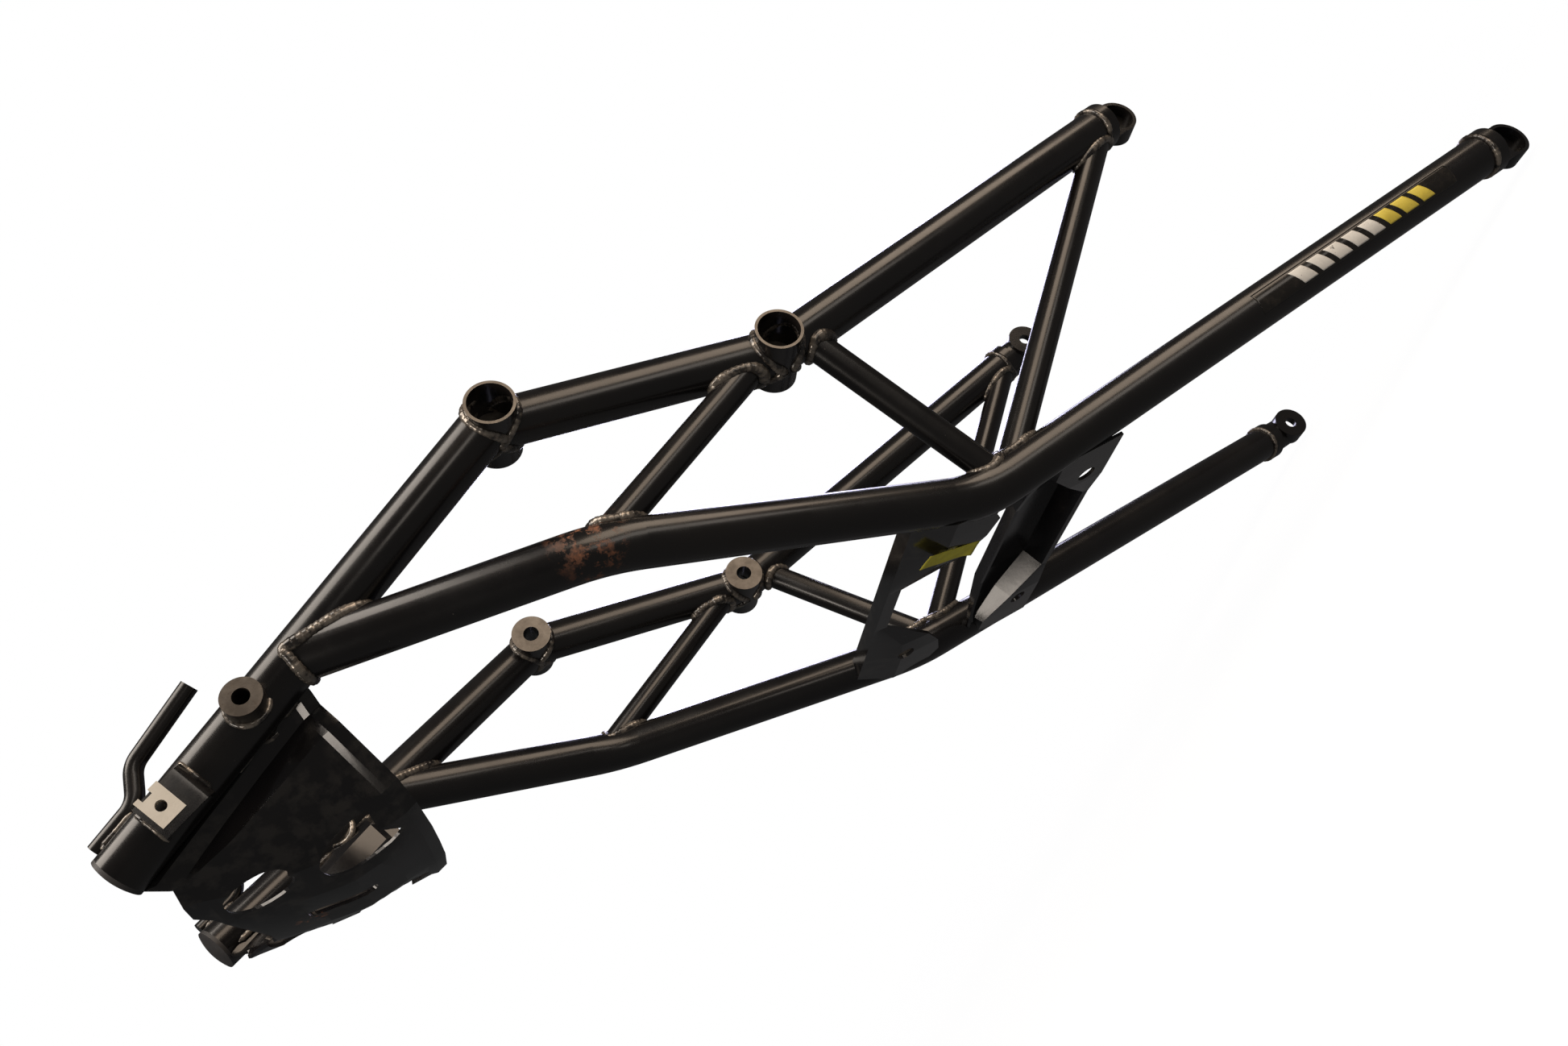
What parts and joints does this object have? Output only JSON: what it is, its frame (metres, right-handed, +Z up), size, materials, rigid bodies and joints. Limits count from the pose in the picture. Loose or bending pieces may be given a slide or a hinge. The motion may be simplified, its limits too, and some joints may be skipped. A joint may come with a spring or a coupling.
{
  "type": "tubular steel rear subframe",
  "caption": "Welded tubular steel rear subframe for a motorcycle, with bolt-on front lugs, bushed side tubes, pressed crossmembers and a tail tray.",
  "frame": {"origin": "on the lower front bolt axis, at the middle plane", "axes": "+X forward to the lugs, +Y left along the bolt axes, +Z up with the tail tubes level"},
  "size_m": [0.7762, 0.3346, 0.397],
  "materials": {
    "gloss_paint": "gloss",
    "pressed_paint": "satin",
    "cap_paint": "matte",
    "bush_steel": "machined",
    "zinc_plate": "bright",
    "weld_bead": "gloss",
    "decal_white": "gloss",
    "decal_yellow": "gloss",
    "tape_yellow": "matte"
  },
  "bodies": {
    "root": {"front_bush_left": "bush_steel", "front_bush_right": "bush_steel", "rear_bush_left": "bush_steel", "rear_bush_right": "bush_steel", "tail_boss_left": "bush_steel", "tail_boss_right": "bush_steel", "lower_lug_left": "gloss_paint", "lower_lug_right": "gloss_paint", "upper_lug_left": "gloss_paint", "upper_lug_right": "gloss_paint", "tail_cap_left": "cap_paint", "tail_cap_right": "cap_paint", "upper_front_tube_left": "gloss_paint", "upper_front_tube_right": "gloss_paint", "upper_middle_tube_left": "gloss_paint", "upper_middle_tube_right": "gloss_paint", "tail_tube_left": "gloss_paint", "tail_tube_right": "gloss_paint", "lower_rail_left": "gloss_paint", "lower_rail_right": "gloss_paint", "front_brace_left": "gloss_paint", "front_brace_right": "gloss_paint", "middle_brace_left": "gloss_paint", "middle_brace_right": "gloss_paint", "rear_brace_left": "gloss_paint", "rear_brace_right": "gloss_paint", "hook_rod_left": "gloss_paint", "hook_rod_right": "gloss_paint", "clip_bracket_left": "pressed_paint", "clip_bracket_right": "pressed_paint", "clip_nut_left": "zinc_plate", "clip_nut_right": "zinc_plate", "rear_crossmember": "pressed_paint", "front_crossmember": "pressed_paint", "tail_box": "pressed_paint"}
  },
  "joints": []
}
